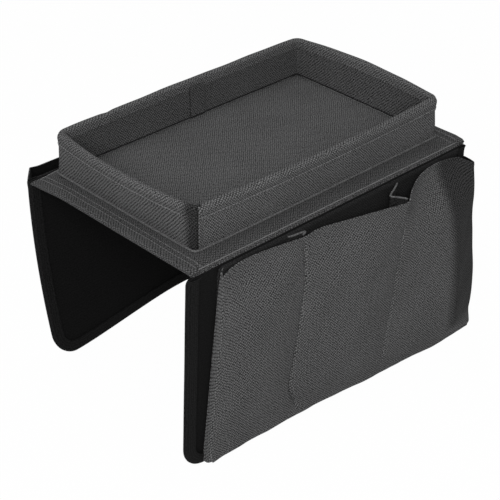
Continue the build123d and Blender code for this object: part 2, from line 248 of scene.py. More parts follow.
def woven(name, shade, spread, slant=1.0, pitch=TWILL_PITCH, ridge=0.36, bump=0.5, rough=0.9, dim=None):
    """A woven cloth: slanted ridges broken into dashes, crossed by single threads.

    dim is where the cloth is darker: from and to along it, from and to down it, and how dark."""
    m = Nodes(name)
    at = m.add("ShaderNodeTexCoord").outputs["UV"]
    split = m.add("ShaderNodeSeparateXYZ", Vector=at)
    u, v = split.outputs[0], split.outputs[1]
    wobble = m.add("ShaderNodeTexNoise", Vector=at, Scale=DRIFT_SCALE, Detail=4.0)
    drift = m.math("MULTIPLY", m.math("SUBTRACT", wobble.outputs["Fac"], 0.5), DRIFT)
    lean = math.hypot(1.0, slant)
    rising = m.math("ADD", u, m.math("MULTIPLY", v, slant))
    falling = m.math("SUBTRACT", m.math("MULTIPLY", u, slant), v)
    ridges = m.wave(rising, pitch * lean, drift)
    dashes = m.wave(falling, DASH_PITCH * lean, drift)
    breaks = m.math("ADD", m.math("MULTIPLY", dashes, DASH_CONTRAST), DASH_LEVEL)
    broken = m.math("MULTIPLY", ridges, breaks)
    threads = m.math("MULTIPLY", m.wave(u, THREAD_PITCH), m.wave(v, THREAD_PITCH))
    fuzz = m.add("ShaderNodeTexNoise", Vector=at, Scale=FUZZ_SCALE, Detail=3.0, Roughness=0.7)
    patch = m.add("ShaderNodeTexNoise", Vector=at, Scale=DYE_SCALE, Detail=4.0)
    tone = m.math("ADD", m.math("MULTIPLY", broken, ridge), m.math("MULTIPLY", threads, THREAD_SHARE))
    tone = m.math("ADD", tone, m.math("MULTIPLY", dashes, DASH_SHARE * ridge))
    grain = m.math("MULTIPLY", m.math("SUBTRACT", fuzz.outputs["Fac"], 0.5), FUZZ)
    dye = m.math("MULTIPLY", m.math("SUBTRACT", patch.outputs["Fac"], 0.5), DYE)
    tone = m.math("ADD", m.math("ADD", tone, 0.5), m.math("ADD", grain, dye))
    colour = m.ramp(tone, 0.0, 1.0, gray(shade - spread), gray(shade + spread))
    if dim:
        colour = m.dimmed(colour, u, v, *dim)
    m.tree.links.new(colour, m.shader.inputs["Base Color"])
    height = m.math("ADD", m.math("MULTIPLY", broken, 0.5), m.math("MULTIPLY", fuzz.outputs["Fac"], 0.8))
    relief = m.add("ShaderNodeBump", Strength=bump, Distance=RELIEF * MM, Height=height)
    m.tree.links.new(relief.outputs[0], m.shader.inputs["Normal"])
    dull = m.ramp(patch.outputs["Fac"], 0.3, 0.7, (rough - 0.06,) * 3, (rough,) * 3)
    m.tree.links.new(dull, m.shader.inputs["Roughness"])
    m.shader.inputs["Specular IOR Level"].default_value = GLOSS
    m.shader.inputs["Sheen Weight"].default_value = SHEEN
    m.shader.inputs["Sheen Roughness"].default_value = 0.5
    return m.material


# Pocket, base, floor and tray are one gray cloth. The differences between their shades are painted light
# and shade: the base and the pockets are set darker than the floor and the tray.
pocket_twill = woven("pocket_twill", 55, 54, slant=-1.0, ridge=0.58)
base_twill = woven("base_twill", 49, 46, slant=-1.0, ridge=0.5)
# Painted shade: the pockets' gray cloth made much darker, for the inside of the pockets.
pocket_shade_twill = woven("pocket_shade_twill", 27, 20, slant=-1.0)
floor_twill = woven("floor_twill", 59, 54, slant=-1.0, ridge=0.56)
# Painted highlight: the wall's gray made lighter, for the light line along thin round seams and folds.
cord_highlight_twill = woven("cord_highlight_twill", 84, 26, pitch=1.5, ridge=0.3)
black_weave = woven("black_weave", 11, 8, slant=0.0, pitch=1.3, ridge=0.2, rough=0.95, bump=0.3)
binding_weave = woven("binding_weave", 15, 13, slant=0.0, pitch=1.6, ridge=0.3, bump=0.5)
print("woven finishes", len(bpy.data.materials))

# %% [markdown]
# Two plainer finishes are left: sewing thread, where a fine grain is enough at this size, and
# the pressed board that stiffens the base and the walls. Neither needs threads that follow a
# fold, so both read the object's own coordinates.

# %% Thread and board finishes


def grained(name, shade, spread, scale, rough):
    """A finish of fine noise between two grays."""
    m = Nodes(name)
    at = m.add("ShaderNodeTexCoord").outputs["Object"]
    grain = m.add("ShaderNodeTexNoise", Vector=at, Scale=scale, Detail=4.0)
    colour = m.ramp(grain.outputs["Fac"], 0.3, 0.7, gray(shade - spread), gray(shade + spread))
    m.tree.links.new(colour, m.shader.inputs["Base Color"])
    m.shader.inputs["Roughness"].default_value = rough
    return m.material


gray_thread = grained("gray_thread", 104, 24, 700.0, 0.7)
base_thread = grained("base_thread", 88, 20, 700.0, 0.7)
tape_thread = grained("tape_thread", 44, 12, 900.0, 0.7)
# Painted shade: the seam stitches are real, but their near-black stands for the shade of the creases they
# lie in.
seam_shade_thread = grained("seam_shade_thread", 9, 5, 900.0, 0.9)
gray_board = grained("gray_board", 110, 18, 900.0, 0.95)
print("finishes", len(bpy.data.materials))

# %% [markdown]
# A flat sheet of cloth is a grid. It is laid in place by moving every crossing of the grid to
# a point worked out from how far along and across the cloth it is, as a sewer pins cloth to a
# form. The map is then measured along the laid cloth, so that the weave has one scale on it,
# and Solidify gives the cloth its thickness. A cloth simulation could drape it, but a formula
# puts each fold where the photograph shows it.

# %% How a sheet of cloth is laid


def dress(piece, material):
    """Give a piece its finish as its only material."""
    piece.data.materials.clear()
    piece.data.materials.append(material)


def finish(piece, material, body, slot, *nodes):
    """Give a finished piece its finish and its body, and hide the CAD nodes that it stands for."""
    dress(piece, material)
    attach(piece, body)
    if nodes:
        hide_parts(*nodes)
    return piece


def line_inside(piece, faces, material):
    """Give the first skin of a thickened sheet its own finish; faces is how many the flat sheet had.

    On a sheet that is thickened inwards from its outward face, that skin is the inner one."""
    piece.data.materials.append(material)
    for face in piece.data.polygons[:faces]:
        face.material_index = 1


def apply_all(piece):
    """Apply every modifier of a piece, in order."""
    bpy.ops.object.select_all(action="DESELECT")
    piece.select_set(True)
    bpy.context.view_layer.objects.active = piece
    for modifier in list(piece.modifiers):
        bpy.ops.object.modifier_apply(modifier=modifier.name)


def spans(points, count, lanes, step, lane_step):
    """Distances along the cloth, from the mean length of each span over all its lanes."""
    reach = [0.0]
    for i in range(count):
        pairs = ((i * step + k * lane_step, (i + 1) * step + k * lane_step) for k in range(lanes))
        reach.append(reach[-1] + sum((points[q] - points[p]).length for p, q in pairs) / lanes)
    return reach


def lay_sheet(name, across, along, place, thickness=CLOTH, side=0.0, flip=False):
    """Lay a grid of across by along cells with place(a, b), a and b from 0 to 1, in mm.

    side is where the thickness goes: 1 outwards along the normal, -1 inwards, 0 both ways."""
    bpy.ops.mesh.primitive_grid_add(x_subdivisions=across, y_subdivisions=along, size=1, calc_uvs=True)
    piece = bpy.context.object
    piece.name = piece.data.name = name
    mesh = piece.data
    for vertex in mesh.vertices:
        a, b = vertex.co.x + 0.5, vertex.co.y + 0.5
        vertex.co = Vector(place(min(max(a, 0.0), 1.0), min(max(b, 0.0), 1.0))) * MM
    columns, rows = across + 1, along + 1
    points = [v.co.copy() for v in mesh.vertices]
    reach_u = spans(points, across, rows, 1, columns)
    reach_v = spans(points, along, columns, columns, 1)
    uvs = mesh.uv_layers.active.data
    for loop in mesh.loops:
        row, column = divmod(loop.vertex_index, columns)
        uvs[loop.index].uv = (reach_u[column], reach_v[row])
    if flip:
        mesh.flip_normals()
    solid = piece.modifiers.new("thickness", "SOLIDIFY")
    solid.thickness = thickness * MM
    solid.offset = side
    solid.use_even_offset = False
    apply_all(piece)
    bpy.ops.object.shade_smooth_by_angle(angle=math.radians(50))
    print(name, "cut", round(reach_u[-1], 4), "by", round(reach_v[-1], 4), "faces", len(mesh.polygons))
    return piece, (reach_u[-1], reach_v[-1])


# %% [markdown]
# Cloth is never quite even, so three small curves are used again and again: a soft step from
# 0 to 1, a soft bump, and a slow ripple that is the same on each run.

# %% Soft curves


def smoothstep(low, high, value):
    """0 below low, 1 above high, and an even curve between."""
    t = min(max((value - low) / (high - low), 0.0), 1.0)
    return t * t * (3 - 2 * t)


def bell(centre, width, value):
    """A soft bump of height 1 at centre."""
    return math.exp(-((value - centre) / width) ** 2)


def ripple(x, y, seed):
    """Slow unevenness of hand-sewn cloth, from -1 to 1, the same on each run."""
    return (
        math.sin(0.021 * x + 1.7 * seed) * math.cos(0.034 * y + 0.9 * seed)
        + 0.5 * math.sin(0.057 * x - 0.043 * y + 2.3 * seed)
        + 0.25 * math.sin(0.13 * x + 0.11 * y + 3.1 * seed)
    ) / 1.75


def between(pairs, at):
    """A smooth curve through pairs of place and value, level at both ends."""
    last = len(pairs) - 1
    at = min(max(at, pairs[0][0]), pairs[last][0])
    i = max(k for k in range(last) if pairs[k][0] <= at)

    def slope(k):
        if k in (0, last):
            return 0.0
        return (pairs[k + 1][1] - pairs[k - 1][1]) / (pairs[k + 1][0] - pairs[k - 1][0])

    step = pairs[i + 1][0] - pairs[i][0]
    t = (at - pairs[i][0]) / step
    h00, h10 = 2 * t ** 3 - 3 * t ** 2 + 1, t ** 3 - 2 * t ** 2 + t
    h01, h11 = -2 * t ** 3 + 3 * t ** 2, t ** 3 - t ** 2
    return h00 * pairs[i][1] + h10 * step * slope(i) + h01 * pairs[i + 1][1] + h11 * step * slope(i + 1)


print("a ripple at the middle is", round(ripple(0, 0, 1), 3))

# %% [markdown]
# A seam is a row of short stitches. One stitch is modelled once, as a small rounded bead of
# thread, and then copied along the seam. An Array modifier on a curve would repeat it too, but
# a loop can turn each copy to the cloth under it.

# %% How a seam is sewn
STITCH_LENGTH = 2.7
STITCH_GAP = 0.9
STITCH_WIDTH = 0.85
STITCH_RISE_SHARE = 0.7
STITCH_RAISED_SHARE = 0.05
BEAD_CELLS = 10
BEAD_SKIN = 0.3


def one_stitch():
    """The points and faces of one bead of thread along X, in unit size."""
    turned = (0, math.pi / 2, 0)
    bpy.ops.mesh.primitive_cylinder_add(
        vertices=6, radius=0.5, depth=1, end_fill_type="NGON", rotation=turned,
    )
    bead = bpy.context.object
    bpy.ops.object.transform_apply(location=False, rotation=True, scale=False)
    bpy.ops.object.mode_set(mode="EDIT")
    bpy.ops.mesh.select_all(action="SELECT")
    bpy.ops.mesh.bevel(offset=0.16, segments=1, affect="EDGES", clamp_overlap=True)
    bpy.ops.object.mode_set(mode="OBJECT")
    points = [v.co.copy() for v in bead.data.vertices]
    faces = [tuple(f.vertices) for f in bead.data.polygons]
    bpy.data.objects.remove(bead, do_unlink=True)
    return points, faces


STITCH = one_stitch()


def sew(name, line, outward, material, body, slot, width=STITCH_WIDTH):
    """Sew stitches along a line of points in mm; outward(point index) is the cloth's normal."""
    reach = [0.0]
    for p, q in zip(line, line[1:]):
        reach.append(reach[-1] + (Vector(q) - Vector(p)).length)
    count = int(reach[-1] // (STITCH_LENGTH + STITCH_GAP))
    points, faces = [], []
    index = 0
    for k in range(count):
        middle = (k + 0.5) * reach[-1] / count
        while reach[index + 1] < middle:
            index += 1
        share = (middle - reach[index]) / (reach[index + 1] - reach[index])
        p, q = Vector(line[index]), Vector(line[index + 1])
        along = (q - p).normalized()
        up = Vector(outward(index)).normalized()
        up = (up - along * up.dot(along)).normalized()
        across = up.cross(along)
        centre = p.lerp(q, share) + up * width * STITCH_RAISED_SHARE
        start = len(points)
        rise = up * width * STITCH_RISE_SHARE
        for s in STITCH[0]:
            spot = centre + along * s.x * STITCH_LENGTH + across * s.y * width + rise * s.z
            points.append(spot * MM)
        faces += [tuple(start + i for i in f) for f in STITCH[1]]
    mesh = bpy.data.meshes.new(name)
    mesh.from_pydata(points, [], faces)
    piece = bpy.data.objects.new(name, mesh)
    bpy.context.collection.objects.link(piece)
    for face in mesh.polygons:
        face.use_smooth = True
    print(name, count, "stitches")
    finish(piece, material, body, slot)


def lay_bead(name, across, line, radius, material, body, slot, *nodes):
    """Lay a thin round seam; line(a) gives a point and two directions square to the line."""

    def place(a, b):
        centre, out, up = line(a)
        angle = 2 * math.pi * b
        round_it = Vector(out) * math.cos(angle) + Vector(up) * math.sin(angle)
        return tuple(Vector(centre) + round_it * radius)

    bead = lay_sheet(name, across, BEAD_CELLS, place, thickness=BEAD_SKIN, side=-1, flip=True)[0]
    return finish(bead, material, body, slot, *nodes)


# %% [markdown]
# The base is a stiff board in a gray cover. The cover lies flat under the tray, and rolls
# over softly along the two long edges. A bevelled box would have nearly the same outline, but
# a laid grid carries the weave over the edge. The far front corner hangs a little, so the board, the
# cover and the lining are all laid with the same droop.

# %% Base cover
EDGE_FALL = 1.1
EDGE_UNDER = math.radians(150)
EDGE_FALL_RUN = 11
EDGE_RADIUS = 1.75
CORNER_DROOP = 3.2
DROOP_FROM_X = 118
DROOP_FROM_Y = 55
BASE_RIPPLE = 0.25


def droop(x, y):
    """How far the base's loose far front corner hangs down."""
    return CORNER_DROOP * smoothstep(DROOP_FROM_X, BASE_END, -x) * smoothstep(DROOP_FROM_Y, BASE_SIDE, y)


def rolled(y, top):
    """Height of the top skin at y: it falls a little towards the long edges, then rolls over."""
    inside = BASE_SIDE - abs(y)
    top -= EDGE_FALL * (1 - smoothstep(0, EDGE_FALL_RUN, inside))
    over = EDGE_RADIUS - inside
    if over <= 0:
        return top
    return max(top - EDGE_RADIUS + math.sqrt(max(EDGE_RADIUS ** 2 - over ** 2, 0.0)), 0.0)


def place_base_cover(a, b):
    x = -BASE_END + CLOTH + 2 * (BASE_END - CLOTH) * a
    turn = EDGE_RADIUS * EDGE_UNDER
    flat = 2 * (BASE_SIDE - EDGE_RADIUS)
    d = b * (flat + 2 * turn)
    if d < turn or d > turn + flat:
        side = -1 if d < turn else 1
        angle = (turn - d if d < turn else d - turn - flat) / EDGE_RADIUS
        y = side * (BASE_SIDE - EDGE_RADIUS + EDGE_RADIUS * math.sin(angle))
        z = BASE_TOP - EDGE_FALL - EDGE_RADIUS + EDGE_RADIUS * math.cos(angle)
    else:
        y = -BASE_SIDE + EDGE_RADIUS + d - turn
        z = rolled(y, BASE_TOP)
    loose = smoothstep(0, 9, BASE_SIDE - abs(y))
    return x, y, z + BASE_RIPPLE * ripple(x, y, 1) * loose - droop(x, y)


base_cloth, cut = lay_sheet("base_cloth", 130, 130, place_base_cover, side=-1)
finish(base_cloth, base_twill, "base", "gray_cloth", "base_cover")

# %% [markdown]
# Under the base a plain black lining closes the bottom, and it is what rests on the arm.
# Between the two lies the stiffening board. It isn't cloth, but it is laid in the same way,
# because the grid lets its loose corner follow the cover.

# %% Base lining and board
LINING_MIDDLE = 0.5
LINING_RIPPLE = 0.1
LINING_CLOTH = 0.6
BOARD_FIT = 0.3
lining_low, lining_high = box_mm("base_lining")


def flat_between(low, high, z, wave):
    """A placing function for a flat layer between two corners, at height z."""

    def place(a, b):
        x = low[0] + (high[0] - low[0]) * a
        y = low[1] + (high[1] - low[1]) * b
        inside = smoothstep(0, 0.1, min(a, 1 - a, b, 1 - b))
        return x, y, z + wave * ripple(x, y, 2) * inside - droop(x, y)

    return place


place_lining = flat_between(lining_low, lining_high, LINING_MIDDLE, LINING_RIPPLE)
lining, cut = lay_sheet("base_underside", 60, 40, place_lining, thickness=LINING_CLOTH)
finish(lining, black_weave, "base", "black_cloth", "base_lining")

board_middle = (board_low[2] + board_high[2]) / 2
board_thickness = board_high[2] - board_low[2] - BOARD_FIT
place_board = flat_between(board_low, board_high, board_middle, 0.0)
stiff = lay_sheet("base_stiffener", 40, 30, place_board, thickness=board_thickness)[0]
finish(stiff, gray_board, "base", "stiffener_board", "base_board")

# %% [markdown]
# Each short edge of the base is closed with a strip folded over it. The strip is laid along
# the edge with a cross section that starts on the top, goes round the edge and ends below,
# and it thins out over the two rolled corners. A profile swept along a curve would do too, but
# this way the strip takes the cover's own droop. Two rows of stitches hold it: one through
# the strip and one just inside it.

# %% Base bindings
BIND = 10.0
BIND_PROUD = 1.0
BIND_OVER = 0.6
BIND_TOP = BASE_TOP + BIND_PROUD
BIND_WAVE = 0.22
BIND_CLOTH = 0.9
BIND_ROWS = {"outer": BIND - 1.8, "inner": BIND + 4.2}
ROW_STOPS_SHORT = 2.5
ROW_POINTS = 60
STITCH_LIFT = 0.1


def binding_section(b, end):
    """x and z of the folded strip, b from 0 on the top to 1 underneath."""
    half = BIND_TOP / 2
    leg = BIND - half
    turn = math.pi * half
    d = b * (2 * leg + turn)
    if d < leg:
        return end * (BASE_END - BIND + d), BIND_TOP
    if d > leg + turn:
        return end * (BASE_END - BIND + 2 * leg + turn - d), 0.0
    angle = (d - leg) / half
    return end * (BASE_END - half + half * math.sin(angle)), half + half * math.cos(angle)


def binding_top(y):
    """Height of the strip's top face at y."""
    return rolled(y, BIND_TOP) + BIND_WAVE * math.sin(0.11 * y)


for end, label in ((-1, "front"), (1, "back")):
    def place_binding(a, b, end=end):
        y = (BASE_SIDE + BIND_OVER) * (2 * a - 1)
        x, z = binding_section(b, end)
        edge = 0.5 * (1 - smoothstep(0, 1.2, b * 20))
        return x, y, z * (binding_top(y) - edge) / BIND_TOP - droop(x, y)

    strip, cut = lay_sheet(
        f"base_binding_{label}_strip", 110, 30, place_binding, thickness=BIND_CLOTH, side=-1, flip=end > 0,
    )
    finish(strip, base_twill, "base", "gray_cloth", f"base_binding_{label}")
    for row, inset in BIND_ROWS.items():
        x = end * (BASE_END - inset)
        line = []
        for k in range(2 * ROW_POINTS + 1):
            y = (BASE_SIDE - ROW_STOPS_SHORT) * (k / ROW_POINTS - 1)
            z = binding_top(y) if row == "outer" else rolled(y, BASE_TOP)
            line.append((x, y, z + STITCH_LIFT - droop(x, y)))
        sew(f"base_stitches_{label}_{row}", line, lambda i: (0, 0, 1), base_thread, "base", "gray_cloth")

# %% [markdown]
# Along the long edges the cover is turned under and sewn down, and its folded hem shows as a
# thin line just above each flap. A bead of cloth is enough for a fold as small as this.

# %% Base hems
HEM_BEAD = 0.62
HEM_OUT = 0.35
HEM_UP = 0.1
HEM_WAVE = 0.12
HEM_STOPS_SHORT = 1.5

for label in LABELS:
    def hem_line(a, side=SIDES[label]):
        x = (BASE_END - HEM_STOPS_SHORT) * (2 * a - 1)
        y = side * (BASE_SIDE + HEM_OUT)
        z = HEM_UP + HEM_WAVE * math.sin(0.09 * x) - droop(x, y)
        return (x, y, z), (0, side, 0), (0, 0, 1)

    lay_bead(f"base_hem_{label}", 160, hem_line, HEM_BEAD, base_twill, "base", "gray_cloth")
print("base hems laid")

# %% [markdown]
# The tray wall is one long strip that goes round four boards. The path round it is a
# rectangle with rounded corners, and the walls lean outwards between their corners, most
# at the rim, because the boards are only held where they meet. A bevelled box would have
# straight sides, so the path is a function of its own, which every piece on the wall uses.

# %% Path round the tray
WALL_FOOT = BASE_TOP
CORNER_AT_FOOT = 3.5
CORNER_AT_RIM = 9.0
FAR_BOW = 1.5


def wall_point(s, height):
    """A point on the wall at a share of its height, and its outward direction.

    s goes from 0 to 1 round the tray, from the near front corner along the near side."""
    radius = CORNER_AT_FOOT + (CORNER_AT_RIM - CORNER_AT_FOOT) * height
    half_x, half_y = TRAY_HALF_X, TRAY_HALF_Y
    sides = [
        ((-half_x + radius, -half_y), (1, 0), 2 * (half_x - radius), LONG_BOW),
        ((half_x, -half_y + radius), (0, 1), 2 * (half_y - radius), FRONT_BOW),
        ((half_x - radius, half_y), (-1, 0), 2 * (half_x - radius), FAR_BOW),
        ((-half_x, half_y - radius), (0, -1), 2 * (half_y - radius), FRONT_BOW),
    ]
    quarter = radius * math.pi / 2
    total = sum(side[2] for side in sides) + 4 * quarter
    d = (s % 1.0) * total - quarter / 2
    if d < 0:
        d += total
    for (x, y), (dx, dy), length, bow in sides:
        if d <= length:
            t = 2 * d / length - 1
            lean = bow * height * (1 - t * t)
            slope = 4 * bow * height * t / length
            normal = Vector((dy, -dx, 0)) + Vector((dx, dy, 0)) * slope
            normal.normalize()
            return Vector((TRAY_X + x + dx * d + dy * lean, TRAY_Y + y + dy * d - dx * lean, 0)), normal
        d -= length
        if d <= quarter:
            angle = d / radius
            centre = Vector((x + dx * length - dy * radius, y + dy * length + dx * radius, 0))
            normal = Vector((dy, -dx, 0)) * math.cos(angle) + Vector((dx, dy, 0)) * math.sin(angle)
            return centre + normal * radius + Vector((TRAY_X, TRAY_Y, 0)), normal
        d -= quarter
    return wall_point(0.0, height)


def wall_height(z):
    """Share of the wall's height at a height, so 1 at the rim's top."""
    return max(z - WALL_FOOT, 0.0) / (RIM_TOP - WALL_FOOT)


def on_wall(s, out, z):
    """A point that stands out from the wall's face by out, at height z."""
    p, n = wall_point(s, wall_height(z))
    return (p.x + n.x * out, p.y + n.y * out, z)


CORNERS_SAVE = 30.0
WALL_ROUND = 4 * (TRAY_HALF_X + TRAY_HALF_Y) - CORNERS_SAVE
print("a wall point", wall_point(0.1, 1)[0])

# %% [markdown]
# In the photograph the strip's tucked end is dark, much darker than a groove alone makes it
# in the modelled light. So the shade is painted: the tray's own twill gets darker over the
# last 17 mm of the strip, across its whole width.

# %% Twill of the tray
TUCK_SHADE = (17.0, 7.0)
TUCK_DARK = 0.27
WHOLE_WIDTH = (1.0, 2.0)


def tray_twill(name, cut_length):
    """The tray's twill, darker towards the end of a strip of this length in metres."""
    low, high = (cut_length - inset * MM for inset in TUCK_SHADE)
    return woven(name, 59, 58, ridge=0.62, dim=(low, high, *WHOLE_WIDTH, TUCK_DARK))


print("tray twill ready")

# %% [markdown]
# The outer cloth of the wall is closed at the near front corner. There the end that comes
# along the front is tucked in, and the end that goes along the near side lies over it with a
# free edge, which shows as a dark upright groove with one sharp side. The same curve is used
# for the rim, where the groove runs out below the top.

# %% Lap at the corner
LAP_START = 2.6
LAP_OVER = 3.0
LAP_LIFT = 1.0
LAP_LIFT_RUN = 5
TUCK = 2.6
TUCK_RUN = 15.0
TUCK_END = 3.5
PACKED_SHARE = 0.14
PACKED_RUN = 30.0
WALL_UNDER_RIM = 5.0
WALL_FOOT_GAP = 0.4
WALL_PROUD = 0.3
WALL_DRUM = 0.45
DRUM_ROUND = 900
DENT = 1.3
DENT_AT = 0.754
DENT_HALF_SHARE = 0.005


def lap_place(a, deep=1.0):
    """Place round the wall and step off it, for a from the lapped edge round to the tucked one."""
    total = WALL_ROUND + LAP_OVER
    if a < PACKED_SHARE:
        d = PACKED_RUN * a / PACKED_SHARE
    elif a > 1 - PACKED_SHARE:
        d = total - PACKED_RUN * (1 - a) / PACKED_SHARE
    else:
        d = PACKED_RUN + (total - 2 * PACKED_RUN) * (a - PACKED_SHARE) / (1 - 2 * PACKED_SHARE)
    lift = LAP_LIFT * (1 - smoothstep(0, LAP_LIFT_RUN, d))
    left = WALL_ROUND - d
    tuck = TUCK * smoothstep(-TUCK_RUN, -TUCK_END, -left)
    return (LAP_START + d) / WALL_ROUND, lift - tuck * deep


def corner_dent(s, z):
    """A small dent where the cloth is pulled in at the far front corner of the rim."""
    return DENT * bell(DENT_AT, DENT_HALF_SHARE, s) * smoothstep(RIM_TOP - 16, RIM_TOP - 6, z)


def place_wall_outer(a, b):
    s, step = lap_place(a)
    z = WALL_FOOT + WALL_FOOT_GAP + (RIM_TOP - WALL_UNDER_RIM - WALL_FOOT) * b
    drum = WALL_DRUM * ripple(DRUM_ROUND * s, 3 * z, 3) * smoothstep(0, 0.25, b)
    return on_wall(s, WALL_PROUD + drum * 0.5 + step - corner_dent(s, z), z)


wall_outer, outer_cut = lay_sheet("tray_wall_outside", 560, 24, place_wall_outer, side=-1)
wall_twill = tray_twill("wall_twill", outer_cut[0])
finish(wall_outer, wall_twill, "base", "gray_cloth", "tray_wall_outer_cover")

# %% [markdown]
# The rim is the same cloth folded over the tops of the boards. Its cross section goes up from
# the stitched edge outside, over a narrow top and down inside. The stitches pull the edge in,
# so the band swells a little above them. A thick edge on the wall would look alike from afar,
# but it wouldn't have the band's sewn edge.

# %% Rim band
RIM_DEPTH = 12.5
RIM_INSIDE = 9.0
RIM_PROUD = 1.0
RIM_STITCH_UP = 2.2
RIM_SWELL = 0.7
RIM_PULL = 0.35
RIM_EDGE = 0.15
RIM_DRUM = 0.8
RIM_DRUM_SHARE = 0.2
RIM_PEAK = 0.4
RIM_TUCK_FADES = (6.0, 1.5)
RIM_CLOTH = 0.9
INSIDE_STEP_SHARE = 0.25


def place_rim(a, b):
    s = lap_place(a)[0]
    half = (WALL + 2 * RIM_PROUD) / 2
    centre = -WALL / 2
    up = RIM_DEPTH - half
    turn = math.pi * half
    d = b * (up + turn + RIM_INSIDE - half)
    drum = ripple(DRUM_ROUND * s, 7, 5)
    swell = 0.0
    if d < up:
        out, z = centre + half, RIM_TOP - RIM_DEPTH + d
        swell = RIM_SWELL * math.sin(math.pi * smoothstep(RIM_STITCH_UP, up + half, d))
        swell -= RIM_PULL * bell(RIM_STITCH_UP, 0.9, d) + RIM_EDGE * (1 - smoothstep(0, 1, d))
    elif d > up + turn:
        out, z = centre - half, RIM_TOP - half - (d - up - turn)
    else:
        angle = (d - up) / half
        out, z = centre + half * math.cos(angle), RIM_TOP - half + half * math.sin(angle)
    z += RIM_DRUM * drum * smoothstep(RIM_TOP - 9, RIM_TOP, z)
    fade_low, fade_high = (RIM_TOP - down for down in RIM_TUCK_FADES)
    step = lap_place(a, 1 - smoothstep(fade_low, fade_high, z))[1]
    outer = 1.0 if out > centre else INSIDE_STEP_SHARE
    out += swell + RIM_DRUM_SHARE * drum + step * outer - corner_dent(s, z)
    return on_wall(s, out, min(z, RIM_TOP + RIM_PEAK))


rim, cut = lay_sheet("tray_rim_fold", 560, 40, place_rim, thickness=RIM_CLOTH, side=-1)
finish(rim, tray_twill("rim_twill", cut[0]), "base", "gray_cloth", "tray_rim_band")

SEWN_FROM = 0.004
SEWN_TO = 0.986
SEWN_UP = RIM_TOP - RIM_DEPTH + RIM_STITCH_UP
SEWN_OUT = RIM_PROUD + 0.05
RIM_POINTS = 700


def rim_place(i):
    """Place round the wall of a point of the stitch line."""
    return SEWN_FROM + (SEWN_TO - SEWN_FROM) * i / RIM_POINTS


def rim_outward(i):
    """Outward direction of the rim at a point of the stitch line."""
    return wall_point(rim_place(i), 1)[1]


rim_line = [on_wall(rim_place(i), SEWN_OUT, SEWN_UP) for i in range(RIM_POINTS + 1)]
sew("tray_rim_stitches", rim_line, rim_outward, gray_thread, "base", "gray_cloth")

# %% [markdown]
# Inside, the wall is lined with a darker cloth. The strip's ends overlap on the far wall, and
# the lap shows as a thin upright step with a dark seam. The cloth's foot is painted darker,
# a painted shade for the dark line where it meets the floor.

# %% Wall, inner cloth
LAP_AT = 0.639
LAP_SHARE = 0.014
LAP_STEP = 0.7
LAP_SEAM_IN = WALL + 1.25
LAP_SEAM_POINTS = 49
LAP_SEAM_STEP = 0.6
LAP_SEAM_WIDTH = 1.3
INNER_TOP = RIM_TOP - WALL_UNDER_RIM
INNER_PROUD = 0.4
INNER_CLOTH = 0.8
WHOLE_LENGTH = (-1.0, -0.5)
FOOT_SHADE = (0.6 * MM, 2.4 * MM)
FOOT_DARK = 0.2
foot_dim = (*WHOLE_LENGTH, *FOOT_SHADE, FOOT_DARK)
inner_twill = woven("inner_twill", 52, 46, slant=-1.0, ridge=0.5, dim=foot_dim)


def place_wall_inner(a, b):
    total = 1 + LAP_SHARE
    s = LAP_AT + a * total
    lap = smoothstep(1 - 0.5 * LAP_SHARE, 1 - 0.3 * LAP_SHARE, a * total)
    z = FLOOR_TOP - WALL_FOOT_GAP + (INNER_TOP - FLOOR_TOP) * b
    drum = WALL_DRUM * ripple(DRUM_ROUND * s, 5 * z, 6)
    return on_wall(s, -WALL - INNER_PROUD - LAP_STEP * lap - 0.4 * abs(drum), z)


wall_inner, cut = lay_sheet(
    "tray_wall_inside", 520, 22, place_wall_inner, thickness=INNER_CLOTH, side=-1, flip=True,
)
finish(wall_inner, inner_twill, "base", "gray_cloth", "tray_wall_inner_cover")
lap_edge = LAP_AT + LAP_SHARE
lap_line = [on_wall(lap_edge, -LAP_SEAM_IN, FLOOR_TOP + LAP_SEAM_STEP * k) for k in range(LAP_SEAM_POINTS)]
inwards = -wall_point(lap_edge, 1)[1]
# Sewn in the near-black seam thread, whose black is a painted shade.
sew("tray_lap_stitches", lap_line, lambda i: inwards, seam_shade_thread, "base", "gray_cloth", LAP_SEAM_WIDTH)

# %% [markdown]
# The foot of the wall is closed by a raised seam, thin and round like a cord. It is too narrow
# to count as a sheet of its own, so it belongs to the wall's cloth. It is laid along the
# wall's path, so that it bows out with the wall. Its cloth is the wall's gray painted lighter,
# as a painted highlight along the cord.

# %% Foot seam
PIPING_RADIUS = 0.8
PIPING_OUT = 1.05
PIPING_SUNK = 0.1


def piping_line(a):
    s, step = lap_place(0.5 + (a - 0.5) * 0.999)
    z = WALL_FOOT + PIPING_RADIUS - PIPING_SUNK
    outward = wall_point(s, wall_height(z))[1]
    return on_wall(s, PIPING_OUT + 0.2 * step, z), outward, (0, 0, 1)


piping = lay_bead(
    "tray_foot_seam", 460, piping_line, PIPING_RADIUS, cord_highlight_twill,
    "base", "gray_cloth", "tray_base_piping",
)

# %% [markdown]
# The floor of the tray is a board in the same gray cloth. It is almost flat, and its edges
# turn down against the wall. One grid with a sunk edge is enough, because nothing shows of
# its underside.

# %% Tray floor
FLOOR_EDGE = 4.0
FLOOR_SINK = 0.8
FLOOR_RIPPLE = 0.18
FLOOR_INSET = WALL + 0.6
FLOOR_CLOTH = 0.9


def place_floor(a, b):
    half_x = TRAY_HALF_X - FLOOR_INSET
    half_y = TRAY_HALF_Y - FLOOR_INSET
    x, y = half_x * (2 * a - 1), half_y * (2 * b - 1)
    edge = min(half_x - abs(x), half_y - abs(y))
    z = FLOOR_TOP - FLOOR_SINK * (1 - smoothstep(0, FLOOR_EDGE, edge)) + FLOOR_RIPPLE * ripple(x, y, 8)
    return TRAY_X + x, TRAY_Y + y, z


